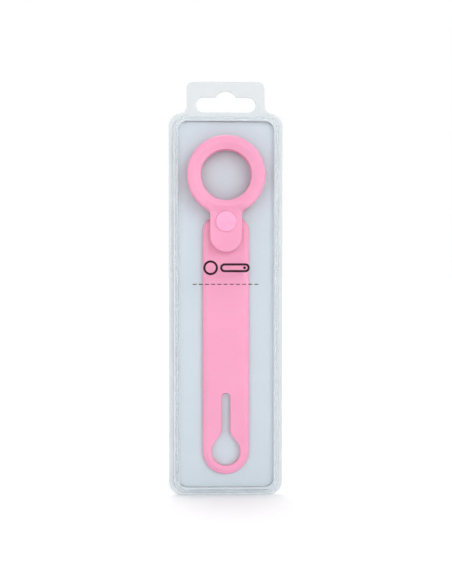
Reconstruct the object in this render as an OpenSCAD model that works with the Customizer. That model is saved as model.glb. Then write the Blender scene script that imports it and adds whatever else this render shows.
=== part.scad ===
// Silicone strap holder for a round tracker tag, in its clear hanging case.
// +Z up along the case, front towards -Y. The origin is where a peg carries the case: in the middle
// of the hanging tab's thickness, at the top of the slot's hump.
// All sizes are in millimetres.

/* [Tag holder] */
// Diameter of the round tag that the holder takes
tag_d = 31.9; // [26:0.1:40]
// Play between the tag and the wall of its pocket
tag_play = 0.45; // [0.2:0.05:1]
// Thickness of the ring's wall around the pocket
ring_wall = 4.1; // [3.4:0.1:6]
// Depth of the pocket between the two lips
pocket_depth = 6; // [5:0.1:8]
// Thickness of each lip where it leaves the wall
lip_t = 1.5; // [1.2:0.1:2]
// How far each lip reaches in over the tag
lip_reach = 3.3; // [2:0.1:4.5]
// How far the lips' inner edges are dished inwards
lip_dish = 1.0; // [0.4:0.1:1.2]
// Rounding of the ring's outer edges
ring_edge_r = 1.6; // [0.6:0.1:2.4]

/* [Strap] */
// Length of the whole holder, from the top of the ring to the strap's end
loop_len = 178; // [150:1:230]
// Width of the strap
strap_w = 24.3; // [20:0.1:30]
// Thickness of the strap
strap_t = 2.4; // [2:0.1:3.4]
// Width of the soft bevel along the strap's front edges
bevel_w = 2.6; // [1:0.1:3.4]
// Depth of that bevel
bevel_h = 1.0; // [0.4:0.1:1.2]
// Rounding of the strap's upper shoulders
shoulder_r = 6.5; // [5:0.1:8]
// Drop of the shoulders below the ring
shoulder_drop = 1.7; // [0.5:0.1:4]

/* [Keyhole] */
// Diameter of the round hole near the strap's end
keyhole_d = 15.3; // [12:0.1:18.5]
// Width of the slot above the hole
keyslot_w = 4.6; // [3.8:0.1:6]
// Length of the slot, from the centre of the hole
keyslot_len = 31; // [20:0.5:40]

/* [Snap flap] */
// Width of the neck between ring and strap
neck_w = 16.4; // [14:0.1:20]
// Radius of the hollow between ring and neck
neck_fillet = 3.5; // [2:0.1:6]
// Width of the front tongue
tongue_w = 16.8; // [14:0.1:20]
// Thickness of the front tongue
tongue_t = 1.6; // [1.2:0.1:2.2]
// Distance from the snap's centre to the tongue's tip
tongue_len = 16; // [12:0.5:22]
// Distance from the ring's lower edge down to the snap's centre
snap_drop = 3.6; // [3:0.1:6]
// Diameter of the snap's caps
snap_d = 11; // [9:0.1:13.2]
// Thickness of the front cap
snap_cap_t = 1.1; // [0.8:0.1:1.6]
// Radius of the caps' prongs
prong_r = 1.4; // [1:0.1:1.8]
// Radius of the stud that the socket grips
stud_r = 2.2; // [2:0.1:2.6]
// Space between tongue and strap that the snap takes up
snap_stack = 2.6; // [2.2:0.1:3.4]

/* [Case] */
// Clear space beside the ring, out to the case's edge
side_room = 9.5; // [8.5:0.1:16]
// Clear space above the ring, up to the case's edge
head_room = 12.4; // [10:0.1:24]
// Clear space below the strap, down to the case's edge
foot_room = 11.6; // [9:0.1:24]
// Space between the ring and the lid's front
lid_room = 1.9; // [0.8:0.1:6]
// Rounding of the case's corners
case_r = 7; // [4:0.1:10]
// Thickness of the back plate
plate_t = 1.2; // [0.8:0.1:2]
// Thickness of the lid's wall
lid_wall = 1.2; // [0.8:0.1:1.5]
// Step from the plate's edge in to the lid's skirt
lid_step = 1.4; // [0.8:0.1:2.4]
// Distance from the plate's edge in to the lid's flat front
lid_inset = 5.4; // [4.8:0.1:6.5]
// Depth of the lid's rounded shoulder
lid_shoulder = 2.4; // [2:0.1:3.2]
// Height of the rim that locates the lid
rim_h = 2.4; // [1.6:0.1:4]
// Thickness of that rim
rim_t = 1.0; // [0.8:0.1:1.6]
// Thickness of the backing card
card_t = 0.4; // [0.3:0.1:0.8]

/* [Hang tab] */
// Width of the hanging slot, end to end
slot_w = 31.5; // [28:0.1:33]
// Height of the hanging slot
slot_h = 7.8; // [6:0.1:9]
// Width of the hump at the middle of the slot
hump_w = 10.8; // [8:0.1:13]
// Height of that hump
hump_h = 3.1; // [2:0.1:4]
// Height of the slot's lower edge over the case
slot_lift = 0.5; // [0:0.1:4]
// Width of the tab at each end of the slot
tab_side = 4.75; // [4:0.05:7]
// Height of the tab over the hump
tab_top = 5.1; // [4:0.1:8]
// Rounding of the tab's upper corners
tab_r = 3.5; // [2:0.1:6]
// Radius of the hollow where the tab meets the case
tab_fillet = 4; // [2:0.1:5]

/* [Fits] */
// Gap between pieces that move past each other
move_gap = 0.3; // [0.3:0.05:0.6]
// Gap around pieces that sit still in a recess
seat_gap = 0.1; // [0.05:0.01:0.3]
// Gap between the locating rim's beads and the lid
bead_gap = 0.15; // [0.1:0.01:0.3]

/* [Hidden] */
$fn = 72;
eps = 0.01;
far = 400;              // longer than anything here, for cutting blocks
whole = [-far, far];
hull_fn = 32;

// radii of the holder
pocket_r = tag_d / 2 + tag_play;
ring_r = pocket_r + ring_wall;
window_r = pocket_r - lip_reach;
crease_r = pocket_r + 0.3;
lip_edge_t = lip_t - 0.3;
half_ring = pocket_depth / 2 + lip_t;

// outline of the case
case_w = 2 * (ring_r + side_room);
case_h = foot_room + loop_len + head_room;
case_d = plate_t + card_t + move_gap + 2 * half_ring + lid_room + lid_wall;
tab_w = slot_w + 2 * tab_side;
tab_h = slot_lift + slot_h + hump_h + tab_top;

// places along Y, from the back plate to the lid
plate_back = plate_t / 2;
plate_front = plate_back - plate_t;
card_front = plate_front - card_t;
loop_back = card_front - move_gap;
strap_front = loop_back - strap_t;
parting = loop_back - half_ring;
ring_face = parting - half_ring;
tongue_back = strap_front - snap_stack;
tongue_front = tongue_back - tongue_t;
lid_front = plate_back - case_d;

// places along Z, down from the peg
slot_z = -hump_h - slot_h / 2;
case_top = slot_z - slot_h / 2 - slot_lift;
case_foot = case_top - case_h;
end_r = strap_w / 2;
keyhole_z = case_foot + foot_room + end_r;
keyslot_z = keyhole_z + keyslot_len;
ring_z = case_top - head_room - ring_r;
neck_z = ring_z - sqrt(pow(ring_r + neck_fillet, 2) - pow(neck_w / 2 + neck_fillet, 2));
shoulder_z = ring_z - ring_r - shoulder_drop - shoulder_r;
snap_z = ring_z - ring_r - snap_drop;
tongue_tip_z = snap_z - tongue_len;
tongue_end_z = tongue_tip_z + tongue_w / 2;

// hinge lines: the flap's across the front lip, and two across the strap
flap_root_r = lip_t / 2;
flap_y = ring_face + flap_root_r;
flap_z = ring_z - window_r - 2.5;
slope_foot_z = snap_z + snap_d / 2 + seat_gap;
strap_root_r = strap_t / 2;
strap_mid_y = strap_front + strap_root_r;
bend_low_z = keyslot_z + 15;
bend_high_z = (bend_low_z + tongue_tip_z) / 2;

// the snap's stack
flange_t = 0.8;
socket_t = snap_stack - flange_t - move_gap;
socket_r = snap_d / 2 - 0.7;
stud_reach = 0.6;
well_r = stud_r + 0.7;
back_cap_t = 0.8;

// the lid's drafted walls and the rim inside them
shoulder_in = lid_inset / 2 - 0.8;
draft = (lid_inset - shoulder_in - lid_step) / (plate_front - lid_front - lid_shoulder);
rim_inset = lid_step + lid_wall + draft * rim_h + move_gap;
card_inset = rim_inset + rim_t + move_gap;

// Extrudes an outline drawn in X and Z towards the front, starting at y.
module from_y(y, depth) {
    translate([0, y, 0]) rotate([90, 0, 0]) linear_extrude(depth) children();
}

// A turned piece on a Y axis at height z; its profile is (radius, distance in front of y).
module turned(y, z) {
    translate([0, y, z]) rotate([90, 0, 0]) rotate_extrude() children();
}

module disc(y, z, r, depth) {
    translate([0, y, z]) rotate([90, 0, 0]) cylinder(r = r, h = depth);
}

module block(x, y, z) {
    translate([x[0], y[0], z[0]]) cube([x[1] - x[0], y[1] - y[0], z[1] - z[0]]);
}

// The case's outline, moved in by inset, with its corners rounded to match.
module case_outline(inset) {
    r = case_r - 0.4 * inset;
    w = case_w - 2 * inset;
    h = case_h - 2 * inset;
    translate([0, case_foot + case_h / 2]) {
        square([w, h - 2 * r], center = true);
        square([w - 2 * r, h], center = true);
        for (x = [-1, 1], z = [-1, 1])
            translate([x * (w / 2 - r), z * (h / 2 - r)]) circle(r);
    }
}

// The hanging slot: round ends and a low hump over the middle.
module hang_slot() {
    r = slot_h / 2;
    hump_r = (pow(hump_w / 2, 2) + pow(hump_h, 2)) / (2 * hump_h);
    translate([0, slot_z]) {
        square([slot_w - slot_h, slot_h], center = true);
        for (x = [-1, 1]) translate([x * (slot_w / 2 - r), 0]) circle(r);
        intersection() {
            translate([0, r + hump_h - hump_r]) circle(hump_r);
            translate([-slot_w / 2, 0]) square([slot_w, slot_h + hump_h]);
        }
    }
}

module tab_outline() {
    translate([-tab_w / 2, case_top - case_r]) square([tab_w, tab_h + case_r - tab_r]);
    translate([-tab_w / 2 + tab_r, case_top]) square([tab_w - 2 * tab_r, tab_h]);
    for (x = [-1, 1]) {
        translate([x * (tab_w / 2 - tab_r), tab_top - tab_r]) circle(tab_r);
        difference() {
            translate([x * (tab_w / 2 + tab_fillet / 2), case_top + tab_fillet / 2 - eps])
                square([tab_fillet, tab_fillet], center = true);
            translate([x * (tab_w / 2 + tab_fillet), case_top + tab_fillet]) circle(tab_fillet);
        }
    }
}

// Little beads on the rim that centre the lid: along both sides, then at both ends.
module rim_beads() {
    bead_r = 0.5;
    bead_h = 1.2;
    reach = lid_step + lid_wall + draft * bead_h + bead_gap + bead_r;
    for (x = [-1, 1], part = [0.15, 0.5, 0.85])
        translate([x * (case_w / 2 - reach), plate_front, case_foot + case_h * part])
            rotate([90, 0, 0]) cylinder(r = bead_r, h = bead_h, $fn = 24);
    for (z = [case_foot + reach, case_top - reach])
        translate([0, plate_front, z]) rotate([90, 0, 0]) cylinder(r = bead_r, h = bead_h, $fn = 24);
}

// Frosted back plate with its hanging tab and the rim that the lid fits over.
module base_tray() color([0.87, 0.89, 0.89]) {
    from_y(plate_back, plate_t) difference() {
        union() {
            case_outline(0);
            tab_outline();
        }
        hang_slot();
    }
    from_y(plate_front, rim_h) difference() {
        case_outline(rim_inset);
        case_outline(rim_inset + rim_t);
    }
    rim_beads();
}

module backing_card() color([0.81, 0.85, 0.88])
    from_y(plate_front, card_t) case_outline(card_inset);

// The lid's form, with its walls moved in by wall; mouth lengthens it backwards.
module lid_form(wall, mouth) {
    hull() {
        from_y(plate_front - seat_gap + mouth, eps) case_outline(lid_step + wall - draft * mouth);
        for (a = [0 : 15 : 90])
            translate([0, lid_front + lid_shoulder - (lid_shoulder - wall) * sin(a) + eps * sin(a), 0])
                from_y(0, eps) case_outline(lid_inset - (shoulder_in - wall) * cos(a));
    }
}

module clear_lid() color([0.86, 0.9, 0.93, 0.35]) difference() {
    lid_form(0, 0, $fn = hull_fn);
    lid_form(lid_wall, 1, $fn = hull_fn);
}

// Half of the ring's section: wall, rounded outer edge and dished lip.
module ring_section() {
    steps = [0 : 15 : 90];
    polygon(concat(
        [[pocket_r, 0], [ring_r, 0]],
        [for (a = steps) [ring_r - ring_edge_r * (1 - cos(a)), half_ring - ring_edge_r * (1 - sin(a))]],
        [[crease_r, half_ring], [window_r, half_ring - lip_dish],
         [window_r, half_ring - lip_dish - lip_edge_t], [pocket_r, half_ring - lip_t]]));
}

// The neck from z up into the ring, with the hollows between neck and ring.
module neck_outline(z) {
    hollow_x = neck_w / 2 + neck_fillet;
    translate([-neck_w / 2, z]) square([neck_w, ring_z - pocket_r / 2 - z]);
    difference() {
        polygon([[0, ring_z], [-hollow_x, neck_z], [hollow_x, neck_z]]);
        for (x = [-1, 1]) translate([x * hollow_x, neck_z]) circle(neck_fillet);
    }
}

// The whole strap as one convex bar with bevelled front edges.
module strap_body() {
    side_x = strap_w / 2 - shoulder_r;
    hull() {
        for (x = [-side_x, side_x]) {
            translate([x, 0, 0]) disc(loop_back, shoulder_z, shoulder_r, strap_t - bevel_h, $fn = hull_fn);
            translate([x, 0, 0]) disc(loop_back, shoulder_z, shoulder_r - bevel_w, strap_t, $fn = hull_fn);
        }
        disc(loop_back, keyhole_z, end_r, strap_t - bevel_h, $fn = hull_fn * 2);
        disc(loop_back, keyhole_z, end_r - bevel_w, strap_t, $fn = hull_fn * 2);
    }
}

// A length of strap whose upper end is rounded about its hinge line.
module strap_length(low, high) intersection() {
    strap_body();
    union() {
        block(whole, whole, [low, high]);
        translate([-strap_w, strap_mid_y, high]) rotate([0, 90, 0])
            cylinder(r = strap_root_r, h = 2 * strap_w);
    }
}

// Round hole, slot, and the flare that runs from one into the other.
module keyhole() {
    flare_r = 0.96 * keyhole_d / 2;
    flare_a = 53;
    from_y(loop_back + 1, strap_t + 2) translate([0, keyhole_z]) {
        circle(keyhole_d / 2);
        translate([0, keyslot_len - keyslot_w / 2]) circle(keyslot_w / 2);
        translate([-keyslot_w / 2, 0]) square([keyslot_w, keyslot_len - keyslot_w / 2]);
        polygon([[-flare_r * sin(flare_a), flare_r * cos(flare_a)],
                 [-keyslot_w / 2, keyhole_d * 0.65], [keyslot_w / 2, keyhole_d * 0.65],
                 [flare_r * sin(flare_a), flare_r * cos(flare_a)]]);
    }
}

silicone = [0.98, 0.66, 0.78];

// Back half of the ring, the neck behind the tongue and the top of the strap.
module ring_back() color(silicone) difference() {
    union() {
        difference() {
            translate([0, parting, ring_z]) rotate([-90, 0, 0]) rotate_extrude() ring_section();
            block([-neck_w / 2, neck_w / 2], [-far, strap_front], [-far, ring_z - pocket_r / 2]);
        }
        difference() {
            from_y(loop_back, strap_t) neck_outline(shoulder_z);
            disc(loop_back + 1, ring_z, ring_r - 1, strap_t + 2);
        }
        intersection() {
            strap_body();
            block(whole, whole, [bend_high_z + strap_root_r + move_gap, far]);
        }
    }
    disc(loop_back + 1, snap_z, prong_r + seat_gap, strap_t + 2);
    disc(loop_back + 1, snap_z, snap_d / 2 + seat_gap, 1 + back_cap_t + seat_gap);
}

// Front half of the ring, above the flap's hinge line.
module ring_front() color(silicone) intersection() {
    turned(parting, ring_z) ring_section();
    block(whole, whole, [flap_z + flap_root_r + move_gap, far]);
}

// Side view of the sloping neck and the tongue, in Y and Z.
module flap_profile() {
    top = flap_z + flap_root_r;
    slope_top = ring_face + 0.3;
    polygon([[slope_top, top], [slope_top, flap_z], [tongue_front, slope_foot_z],
             [tongue_front, tongue_tip_z], [tongue_back, tongue_tip_z], [tongue_back, slope_foot_z - 0.6],
             [slope_top + tongue_t, flap_z - 0.6], [slope_top + tongue_t, top]]);
}

module flap_outline() {
    neck_outline(tongue_end_z);
    translate([-tongue_w / 2, tongue_end_z]) square([tongue_w, neck_z - tongue_end_z]);
    translate([0, tongue_end_z]) circle(tongue_w / 2);
}

// Lower front of the ring with the neck and the tongue that carries the snap.
module snap_flap() color(silicone) difference() {
    intersection() {
        union() {
            difference() {
                turned(parting, ring_z) ring_section();
                block([-neck_w / 2, neck_w / 2], whole, [-far, ring_z]);
                block(whole, [parting - move_gap, far], whole);
            }
            intersection() {
                translate([-neck_w, 0, 0]) rotate([90, 0, 90]) linear_extrude(2 * neck_w) flap_profile();
                from_y(plate_back, 2 * case_d) flap_outline();
            }
        }
        union() {
            block(whole, whole, [-far, flap_z]);
            translate([-ring_r, flap_y, flap_z]) rotate([0, 90, 0]) cylinder(r = flap_root_r, h = 2 * ring_r);
        }
    }
    disc(plate_back, snap_z, prong_r + seat_gap, 2 * case_d);
}

module strap_middle() color(silicone)
    strap_length(bend_low_z + strap_root_r + move_gap, bend_high_z);

module strap_end() color(silicone) difference() {
    strap_length(case_foot, bend_low_z);
    keyhole();
}

snap_pink = [0.99, 0.68, 0.84];

// Front cap: a low dome with the prong that goes through the tongue.
module snap_cap() color(snap_pink) {
    r = snap_d / 2;
    rim = 0.5;
    turned(tongue_front, snap_z) polygon(concat(
        [[0, 0], [r, 0], [r, rim]],
        [for (a = [15 : 15 : 90]) [r * cos(a), rim + (snap_cap_t - rim) * sin(a)]]));
    disc(tongue_back + 0.5, snap_z, prong_r, tongue_t + 0.5);
}

// Socket on the back of the tongue, with a well for the stud.
module snap_socket() color(snap_pink) difference() {
    disc(tongue_back + socket_t, snap_z, socket_r, socket_t);
    disc(tongue_back + socket_t + 1, snap_z, prong_r + seat_gap, socket_t + 2);
    disc(tongue_back + socket_t + 1, snap_z, well_r, 1 + stud_reach + move_gap);
}

// Stud on the front of the strap: a flange and a slightly bulged knob.
module snap_stud() color(snap_pink) {
    knob = move_gap + stud_reach;
    turned(strap_front, snap_z) polygon([
        [prong_r + seat_gap, 0], [socket_r, 0], [socket_r, flange_t], [stud_r - 0.2, flange_t],
        [stud_r, flange_t + knob / 2], [stud_r - 0.2, flange_t + knob], [prong_r + seat_gap, flange_t + knob]]);
}

// Back cap, let into the back of the strap.
module snap_back_cap() color(snap_pink) {
    disc(loop_back, snap_z, snap_d / 2, back_cap_t);
    disc(loop_back, snap_z, prong_r, strap_t + flange_t);
}

base_tray();
backing_card();
clear_lid();
ring_back();
ring_front();
snap_flap();
strap_middle();
strap_end();
snap_cap();
snap_socket();
snap_stud();
snap_back_cap();
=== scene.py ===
import math

import bmesh
import bpy
import numpy as np
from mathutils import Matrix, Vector


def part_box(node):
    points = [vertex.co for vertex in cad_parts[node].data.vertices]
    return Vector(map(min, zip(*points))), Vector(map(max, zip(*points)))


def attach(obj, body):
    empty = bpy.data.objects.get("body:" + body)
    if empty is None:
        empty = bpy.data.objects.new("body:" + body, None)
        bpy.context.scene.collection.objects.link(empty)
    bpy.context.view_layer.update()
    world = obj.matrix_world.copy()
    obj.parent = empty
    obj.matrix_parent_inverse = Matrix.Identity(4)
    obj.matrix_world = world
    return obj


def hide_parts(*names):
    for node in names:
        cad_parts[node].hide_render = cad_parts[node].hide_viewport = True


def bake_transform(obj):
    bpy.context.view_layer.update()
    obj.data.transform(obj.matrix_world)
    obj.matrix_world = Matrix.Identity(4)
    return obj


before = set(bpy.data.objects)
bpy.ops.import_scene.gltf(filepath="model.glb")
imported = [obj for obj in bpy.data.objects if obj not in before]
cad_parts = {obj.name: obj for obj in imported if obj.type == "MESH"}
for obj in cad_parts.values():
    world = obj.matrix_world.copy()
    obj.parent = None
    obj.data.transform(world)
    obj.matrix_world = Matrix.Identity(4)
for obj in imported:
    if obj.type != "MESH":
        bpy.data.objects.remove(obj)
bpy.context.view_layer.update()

mm = 0.001  # shapes are worked out in millimetres and turned into metres at the end


# Lowest and highest corner of a CAD node, in millimetres.
def boxOf(node):
    low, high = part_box(node)
    return np.array(low) / mm, np.array(high) / mm


# 3t^2 - 2t^3 with t held between 0 and 1: a soft step.
def eased(t):
    t = np.clip(t, 0, 1)
    return t * t * (3 - 2 * t)


# The value a share t of the way from a to b.
def mixed(a, b, t):
    return a + (b - a) * t


# The larger of two values, with the corner between them rounded over about soft.
def softMax(a, b, soft):
    return (a + b + np.sqrt((a - b) ** 2 + soft ** 2)) / 2


# Quads between neighbours of a rows x columns grid of points.
def gridFaces(rows, columns, closedRows, closedColumns):
    r = np.arange(rows if closedRows else rows - 1)[:, None]
    c = np.arange(columns if closedColumns else columns - 1)[None, :]
    nextR, nextC = (r + 1) % rows, (c + 1) % columns
    corners = (r * columns + c, r * columns + nextC, nextR * columns + nextC, nextR * columns + c)
    return np.stack(np.broadcast_arrays(*corners), -1).reshape(-1, 4)


# Points and quads of a tube or a closed sheet from its rows, each an array of (x, y, z).
def gridPart(rows, closed=True):
    grid = np.stack(rows)
    return grid.reshape(-1, 3), gridFaces(grid.shape[0], grid.shape[1], closed, True)


# A loop of (x, z) points stood upright at depth y.
def stoodUp(loop, y):
    return np.stack([loop[:, 0], np.full(len(loop), y), loop[:, 1]], -1)


# A whole loop from its right half: the half, then its mirror image the other way round.
def mirrored(loop):
    return np.concatenate([loop, loop[::-1] * [-1, 1]])


# Sine and cosine of angles, with the sine kept off nought so that it can divide.
def rayParts(turn):
    return np.maximum(np.sin(turn), 1e-6), np.cos(turn)


# (inset, lift) along a quarter-round edge of radius r: r (1 - cos a) and r (1 - sin a).
def roundRows(r, turns):
    return [(r * (1 - math.cos(a)), r * (1 - math.sin(a))) for a in turns]


def putInScene(thing):
    bpy.context.scene.collection.objects.link(thing)
    return thing


meshLimits = {"merge": 1e-6, "flat": 1e-7}  # metres: points this close are one, flatter faces go


# One object from closed parts, each (points in millimetres, quads). Doubles are merged first.
def makePiece(name, parts, finish, sharp=40):
    points, faces, count = [], [], 0
    for p, f in parts:
        points.append(p)
        faces.append(f + count)
        count += len(p)
    mesh = bpy.data.meshes.new(name)
    mesh.from_pydata((np.concatenate(points) * mm).tolist(), [], np.concatenate(faces).tolist())
    work = bmesh.new()
    work.from_mesh(mesh)
    bmesh.ops.remove_doubles(work, verts=work.verts, dist=meshLimits["merge"])
    bmesh.ops.dissolve_degenerate(work, edges=work.edges, dist=meshLimits["flat"])
    bmesh.ops.recalc_face_normals(work, faces=work.faces)
    work.to_mesh(mesh)
    work.free()
    mesh.shade_smooth()
    mesh.set_sharp_from_angle(angle=math.radians(sharp))
    mesh.materials.append(finish)
    return putInScene(bpy.data.objects.new(name, mesh))


# A profile of (radius, y) turned about the Y axis through height centreZ. Its ends lie on the axis,
# or the profile is closed on itself.
def turnedPart(profile, centreZ, steps=72):
    profile = np.array(profile, float)
    closed = profile[0, 0] > 0
    turn = np.linspace(0, 2 * np.pi, steps, endpoint=False)[:, None]
    x = profile[:, 0] * np.sin(turn)
    z = centreZ + profile[:, 0] * np.cos(turn)
    y = np.broadcast_to(profile[:, 1], x.shape)
    return np.stack([x, y, z], -1).reshape(-1, 3), gridFaces(steps, len(profile), True, closed)


# A closed outline of (radius, y) corners, each rounded by a curve that runs from one side to the
# next: (1-t)^2 a + 2t(1-t) corner + t^2 b.
def softProfile(corners, radius, steps=5):
    corners = np.array(corners, float)
    before, after = np.roll(corners, 1, 0), np.roll(corners, -1, 0)
    t = np.linspace(0, 1, steps)[:, None]
    longest = 0.45  # the share of a side that a rounding may take
    out = []
    for c, a, b in zip(corners, before, after):
        toA, toB = a - c, b - c
        a = c + toA * min(radius / np.linalg.norm(toA), longest)
        b = c + toB * min(radius / np.linalg.norm(toB), longest)
        out.append((1 - t) ** 2 * a + 2 * t * (1 - t) * c + t ** 2 * b)
    return np.concatenate(out)


# An empty shader group with its sockets: inputs (name, type, value), outputs (name, type).
def newGroup(name, inputs, outputs):
    group = bpy.data.node_groups.new(name, "ShaderNodeTree")
    for socket, kind, value in inputs:
        made = group.interface.new_socket(name=socket, in_out="INPUT", socket_type=kind)
        if value is not None:
            made.default_value = value
    for socket, kind in outputs:
        group.interface.new_socket(name=socket, in_out="OUTPUT", socket_type=kind)
    return group, group.nodes.new("NodeGroupInput"), group.nodes.new("NodeGroupOutput")


# A maths node on two values or sockets.
def mathNode(tree, operation, a, b=None):
    node = tree.nodes.new("ShaderNodeMath")
    node.operation = operation
    for slot, value in zip(node.inputs, (a, b)):
        if isinstance(value, bpy.types.NodeSocket):
            tree.links.new(value, slot)
        elif value is not None:
            slot.default_value = value
    return node.outputs[0]


grainMix = {"detail": {"fine": 3.0, "broad": 2.0}, "broadShare": 0.75}


# Moulding grain: fine noise for the height. The shade is broad slow noise by its share, plus the
# fine noise by the rest.
def makeGrainGroup():
    tree, given, result = newGroup(
        "mouldGrain",
        [("Vector", "NodeSocketVector", None), ("Fine Scale", "NodeSocketFloat", 2500.0),
         ("Broad Scale", "NodeSocketFloat", 60.0)],
        [("Height", "NodeSocketFloat"), ("Shade", "NodeSocketFloat")])
    sockets = {}
    for kind, scale in (("fine", "Fine Scale"), ("broad", "Broad Scale")):
        noise = tree.nodes.new("ShaderNodeTexNoise")
        noise.inputs["Detail"].default_value = grainMix["detail"][kind]
        tree.links.new(given.outputs["Vector"], noise.inputs["Vector"])
        tree.links.new(given.outputs[scale], noise.inputs["Scale"])
        sockets[kind] = noise.outputs["Fac"]
    tree.links.new(sockets["fine"], result.inputs["Height"])
    broad = mathNode(tree, "MULTIPLY", sockets["broad"], grainMix["broadShare"])
    fine = mathNode(tree, "MULTIPLY", sockets["fine"], 1 - grainMix["broadShare"])
    tree.links.new(mathNode(tree, "ADD", broad, fine), result.inputs["Shade"])
    return tree


# Sparse specks of dust: cells whose own chance is high show a small dot at their centre.
def makeSpeckGroup():
    tree, given, result = newGroup(
        "dustSpecks",
        [("Vector", "NodeSocketVector", None), ("Scale", "NodeSocketFloat", 300.0),
         ("Size", "NodeSocketFloat", 0.1), ("Rarity", "NodeSocketFloat", 0.9)],
        [("Mask", "NodeSocketFloat")])
    cells = tree.nodes.new("ShaderNodeTexVoronoi")
    tree.links.new(given.outputs["Vector"], cells.inputs["Vector"])
    tree.links.new(given.outputs["Scale"], cells.inputs["Scale"])
    near = mathNode(tree, "LESS_THAN", cells.outputs["Distance"], given.outputs["Size"])
    parts = tree.nodes.new("ShaderNodeSeparateColor")
    tree.links.new(cells.outputs["Color"], parts.inputs["Color"])
    chosen = mathNode(tree, "GREATER_THAN", parts.outputs[0], given.outputs["Rarity"])
    tree.links.new(mathNode(tree, "MULTIPLY", near, chosen), result.inputs["Mask"])
    return tree


grainGroup = makeGrainGroup()
speckGroup = makeSpeckGroup()
shadeSpan = (0.3, 0.7)  # the shades between which nearly all of the noise lies


# A material with the mould grain in its colour, roughness and bump, and dust specks if asked. look
# holds: light and dark (linear colours), rough (low, high), bump (mm), scales and extras.
def newFinish(name, look):
    material = bpy.data.materials.new(name)
    material.use_nodes = True
    tree = material.node_tree
    shader = tree.nodes["Principled BSDF"]
    place = tree.nodes.new("ShaderNodeTexCoord")
    grain = tree.nodes.new("ShaderNodeGroup")
    grain.node_tree = grainGroup
    tree.links.new(place.outputs["Object"], grain.inputs["Vector"])
    grain.inputs["Fine Scale"].default_value = look["fineScale"]
    grain.inputs["Broad Scale"].default_value = look["broadScale"]
    ramp = tree.nodes.new("ShaderNodeValToRGB")
    for stop, position, colour in zip(ramp.color_ramp.elements, shadeSpan, (look["dark"], look["light"])):
        stop.position = position
        stop.color = (*colour, 1)
    tree.links.new(grain.outputs["Shade"], ramp.inputs["Fac"])
    colour = ramp.outputs["Color"]
    if "specks" in look:
        dust = tree.nodes.new("ShaderNodeGroup")
        dust.node_tree = speckGroup
        tree.links.new(place.outputs["Object"], dust.inputs["Vector"])
        for socket, value in look["specks"].items():
            dust.inputs[socket].default_value = value
        mix = tree.nodes.new("ShaderNodeMix")
        mix.data_type = "RGBA"
        tree.links.new(dust.outputs["Mask"], mix.inputs["Factor"])
        tree.links.new(colour, mix.inputs["A"])
        mix.inputs["B"].default_value = (*look["speckColour"], 1)
        colour = mix.outputs["Result"]
    tree.links.new(colour, shader.inputs["Base Color"])
    low, high = look["rough"]
    if low < high:
        spread = tree.nodes.new("ShaderNodeMapRange")
        limits = {"From Min": shadeSpan[0], "From Max": shadeSpan[1], "To Min": low, "To Max": high}
        for socket, value in limits.items():
            spread.inputs[socket].default_value = value
        tree.links.new(grain.outputs["Shade"], spread.inputs["Value"])
        tree.links.new(spread.outputs["Result"], shader.inputs["Roughness"])
    else:
        shader.inputs["Roughness"].default_value = low
    bump = tree.nodes.new("ShaderNodeBump")
    bump.inputs["Strength"].default_value = 1.0
    bump.inputs["Distance"].default_value = look["bump"] * mm
    tree.links.new(grain.outputs["Height"], bump.inputs["Height"])
    tree.links.new(bump.outputs["Normal"], shader.inputs["Normal"])
    for socket, value in look.get("extras", {}).items():
        shader.inputs[socket].default_value = value
    return material


# A share of the light that travels on to other surfaces passes straight through, tinted.
def letLightThrough(material, share, tint):
    tree = material.node_tree
    shader = tree.nodes["Principled BSDF"]
    output = tree.nodes["Material Output"]
    path = tree.nodes.new("ShaderNodeLightPath")
    clear = tree.nodes.new("ShaderNodeBsdfTransparent")
    clear.inputs["Color"].default_value = (*tint, 1)
    mix = tree.nodes.new("ShaderNodeMixShader")
    passing = mathNode(tree, "MAXIMUM", path.outputs["Is Shadow Ray"], path.outputs["Is Diffuse Ray"])
    tree.links.new(mathNode(tree, "MULTIPLY", passing, share), mix.inputs["Fac"])
    tree.links.new(shader.outputs["BSDF"], mix.inputs[1])
    tree.links.new(clear.outputs["BSDF"], mix.inputs[2])
    tree.links.new(mix.outputs["Shader"], output.inputs["Surface"])


siliconeLook = {
    "light": (0.80, 0.315, 0.458), "dark": (0.76, 0.295, 0.433), "rough": (0.42, 0.52),
    "fineScale": 3500.0, "broadScale": 45.0, "bump": 0.012,
    "specks": {"Scale": 260.0, "Size": 0.07, "Rarity": 0.985}, "speckColour": (0.62, 0.13, 0.24),
    "extras": {"Subsurface Weight": 0.35, "Subsurface Radius": (1.0, 0.35, 0.45),
               "Subsurface Scale": 0.0016, "IOR": 1.41},
}
snapLook = {
    "light": (0.84, 0.335, 0.51), "dark": (0.81, 0.32, 0.49), "rough": (0.24, 0.32),
    "fineScale": 2600.0, "broadScale": 160.0, "bump": 0.006,
    "extras": {"IOR": 1.48, "Subsurface Weight": 0.08, "Subsurface Radius": (1.0, 0.4, 0.6),
               "Subsurface Scale": 0.0006},
}
clearLook = {
    "light": (0.955, 0.978, 0.988), "dark": (0.945, 0.972, 0.984), "rough": (0.0, 0.0),
    "fineScale": 60.0, "broadScale": 30.0, "bump": 0.0001,
    "extras": {"IOR": 1.13, "Transmission Weight": 1.0},
}
frostLook = {
    "light": (0.66, 0.69, 0.705), "dark": (0.63, 0.66, 0.675), "rough": (0.42, 0.56),
    "fineScale": 4200.0, "broadScale": 70.0, "bump": 0.02,
    "extras": {"IOR": 1.49, "Transmission Weight": 0.15},
}
cardLook = {
    "light": (0.515, 0.556, 0.588), "dark": (0.495, 0.536, 0.568), "rough": (0.38, 0.48),
    "fineScale": 2200.0, "broadScale": 22.0, "bump": 0.008,
    "specks": {"Scale": 120.0, "Size": 0.03, "Rarity": 0.985}, "speckColour": (0.25, 0.26, 0.27),
}
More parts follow.
